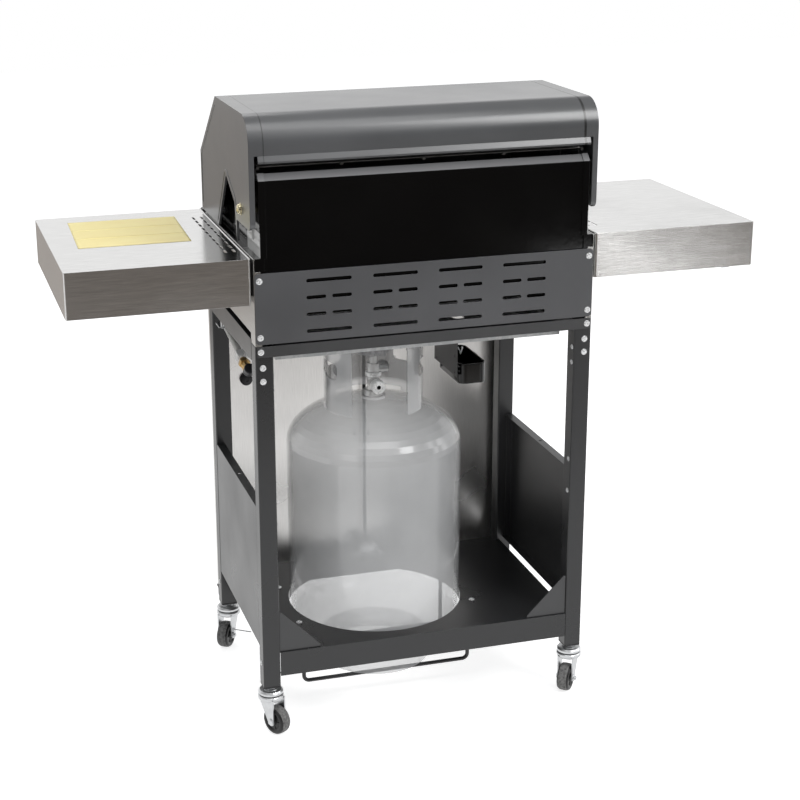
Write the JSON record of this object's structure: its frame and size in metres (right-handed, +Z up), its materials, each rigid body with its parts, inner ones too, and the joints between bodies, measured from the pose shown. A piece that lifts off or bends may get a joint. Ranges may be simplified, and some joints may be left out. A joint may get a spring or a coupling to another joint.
{
  "type": "gas grill",
  "caption": "Gas grill on a wheeled cart with a hinged lid, side shelves, front doors, pull-out grease tray and a well for a gas cylinder.",
  "frame": {"origin": "centre of the bounding box on the floor", "axes": "+X to the user's right, -Y to the user (the doors and knobs), +Z up"},
  "size_m": [1.181, 0.4738, 1.067],
  "materials": {
    "graphite_paint": "satin",
    "black_enamel": "gloss",
    "stainless": "brushed",
    "galvanised": "spangled",
    "plated_steel": "bright",
    "black_plastic": "matte",
    "cast_iron": "matte",
    "brass": "satin",
    "brass_plated": "satin",
    "hose_rubber": "matte",
    "tyre_rubber": "matte",
    "bottle_paint": null,
    "handwheel_plastic": "gloss"
  },
  "bodies": {
    "cart": {"bottom_shelf": "graphite_paint", "legs": "graphite_paint", "side_panels": "graphite_paint", "side_rails": "graphite_paint", "rear_rail": "graphite_paint", "front_header": "graphite_paint", "rear_vent_panel": "graphite_paint", "side_walls": "stainless", "corner_gussets": "graphite_paint", "cylinder_cradle": "cast_iron", "door_catch": "galvanised", "firebox": "black_enamel", "burners": "stainless", "flame_tamers": "stainless", "grate_right": "cast_iron", "grate_left": "cast_iron", "warming_rack": "plated_steel", "gas_manifold": "brass", "control_panel": "graphite_paint", "panel_bezels": "plated_steel", "side_shelf_right": "stainless", "side_shelf_left": "stainless", "shelf_brackets": "graphite_paint", "lid_pivot_bolts": "brass_plated", "gas_hose": "hose_rubber", "hose_fitting": "brass_plated", "hose_clip": "plated_steel", "cart_screws": "plated_steel", "caster_sockets": "black_plastic", "door_hinges": "graphite_paint"},
    "lid": {"lid_skin": "graphite_paint", "lid_cap_right": "graphite_paint", "lid_cap_left": "graphite_paint", "lid_handle": "stainless", "handle_posts": "black_plastic", "temperature_gauge": "plated_steel"},
    "right_door": {"door_right": "stainless", "door_handle_right": "stainless"},
    "left_door": {"door_left": "stainless", "door_handle_left": "stainless"},
    "right_knob": {"knob_right": "black_plastic"},
    "centre_knob": {"knob_centre": "black_plastic"},
    "left_knob": {"knob_left": "black_plastic"},
    "igniter": {"igniter_button": "black_plastic"},
    "tray": {"grease_tray": "galvanised", "cup_bracket": "graphite_paint"},
    "cup": {"grease_cup": "black_enamel"},
    "front_right_fork": {"fork_front_right": "plated_steel"},
    "front_left_fork": {"fork_front_left": "plated_steel"},
    "rear_right_fork": {"fork_rear_right": "plated_steel"},
    "rear_left_fork": {"fork_rear_left": "plated_steel"},
    "front_right_wheel": {"wheel_front_right": "tyre_rubber"},
    "front_left_wheel": {"wheel_front_left": "tyre_rubber"},
    "rear_right_wheel": {"wheel_rear_right": "tyre_rubber"},
    "rear_left_wheel": {"wheel_rear_left": "tyre_rubber"},
    "right_brake": {"brake_lever_right": "plated_steel"},
    "left_brake": {"brake_lever_left": "plated_steel"},
    "cylinder": {"gas_cylinder": "bottle_paint", "cylinder_valve": "brass"},
    "handwheel": {"cylinder_handwheel": "handwheel_plastic"}
  },
  "joints": [
    {"name": "lid_hinge", "type": "hinge", "parent": "cart", "child": "lid", "pos_m": [0, 0.14562, 0.911], "axis": [-1, 0, 0], "range_deg": [0, 80]},
    {"name": "right_door_hinge", "type": "hinge", "parent": "cart", "child": "right_door", "pos_m": [0.284, -0.17488, 0.4], "axis": [0, 0, 1], "range_deg": [0, 110]},
    {"name": "left_door_hinge", "type": "hinge", "parent": "cart", "child": "left_door", "pos_m": [-0.284, -0.17488, 0.4], "axis": [0, 0, -1], "range_deg": [0, 110]},
    {"name": "right_knob_turn", "type": "hinge", "parent": "cart", "child": "right_knob", "pos_m": [0.17, -0.21488, 0.775], "axis": [0, -1, 0], "range_deg": [0, 90]},
    {"name": "centre_knob_turn", "type": "hinge", "parent": "cart", "child": "centre_knob", "pos_m": [0, -0.21488, 0.775], "axis": [0, -1, 0], "range_deg": [0, 90]},
    {"name": "left_knob_turn", "type": "hinge", "parent": "cart", "child": "left_knob", "pos_m": [-0.17, -0.21488, 0.775], "axis": [0, -1, 0], "range_deg": [0, 90]},
    {"name": "igniter_push", "type": "slide", "parent": "cart", "child": "igniter", "axis": [0, 1, 0], "range_m": [0, 0.004], "stiffness_N_per_m": 600, "springref_m": -0.002},
    {"name": "tray_slide", "type": "slide", "parent": "cart", "child": "tray", "axis": [0, 1, 0], "range_m": [0, 0.25]},
    {"name": "cup_slide", "type": "slide", "parent": "tray", "child": "cup", "axis": [0, 1, 0], "range_m": [0, 0.11]},
    {"name": "cylinder_lift", "type": "slide", "parent": "cart", "child": "cylinder", "axis": [0, 0, 1], "range_m": [0, 0.018]},
    {"name": "handwheel_turn", "type": "hinge", "parent": "cylinder", "child": "handwheel", "pos_m": [0.0396, 0.03212, 0.61], "axis": [0, 0, 1], "range_deg": [0, 540]},
    {"name": "rear_right_swivel", "type": "hinge", "parent": "cart", "child": "rear_right_fork", "pos_m": [0.277, 0.19962, 0.09], "axis": [0, 0, 1], "continuous": true},
    {"name": "rear_right_roll", "type": "hinge", "parent": "rear_right_fork", "child": "rear_right_wheel", "pos_m": [0.27, 0.21175, 0.025], "axis": [-0.866, -0.5, 0], "continuous": true},
    {"name": "rear_left_swivel", "type": "hinge", "parent": "cart", "child": "rear_left_fork", "pos_m": [-0.277, 0.19962, 0.09], "axis": [0, 0, 1], "continuous": true},
    {"name": "rear_left_roll", "type": "hinge", "parent": "rear_left_fork", "child": "rear_left_wheel", "pos_m": [-0.268, 0.21035, 0.025], "axis": [-0.766, 0.6428, 0], "continuous": true},
    {"name": "front_right_swivel", "type": "hinge", "parent": "cart", "child": "front_right_fork", "pos_m": [0.277, -0.14938, 0.09], "axis": [0, 0, 1], "continuous": true},
    {"name": "front_right_roll", "type": "hinge", "parent": "front_right_fork", "child": "front_right_wheel", "pos_m": [0.28503, -0.13791, 0.025], "axis": [-0.8192, 0.5736, 0], "continuous": true},
    {"name": "right_brake_press", "type": "hinge", "parent": "front_right_fork", "child": "right_brake", "pos_m": [0.28503, -0.13791, 0.025], "axis": [-0.8192, 0.5736, 0], "range_deg": [0, 12]},
    {"name": "front_left_swivel", "type": "hinge", "parent": "cart", "child": "front_left_fork", "pos_m": [-0.277, -0.14938, 0.09], "axis": [0, 0, 1], "continuous": true},
    {"name": "front_left_roll", "type": "hinge", "parent": "front_left_fork", "child": "front_left_wheel", "pos_m": [-0.28133, -0.13606, 0.025], "axis": [-0.9511, -0.309, 0], "continuous": true},
    {"name": "left_brake_press", "type": "hinge", "parent": "front_left_fork", "child": "left_brake", "pos_m": [-0.28133, -0.13606, 0.025], "axis": [-0.9511, -0.309, 0], "range_deg": [0, 12]}
  ]
}
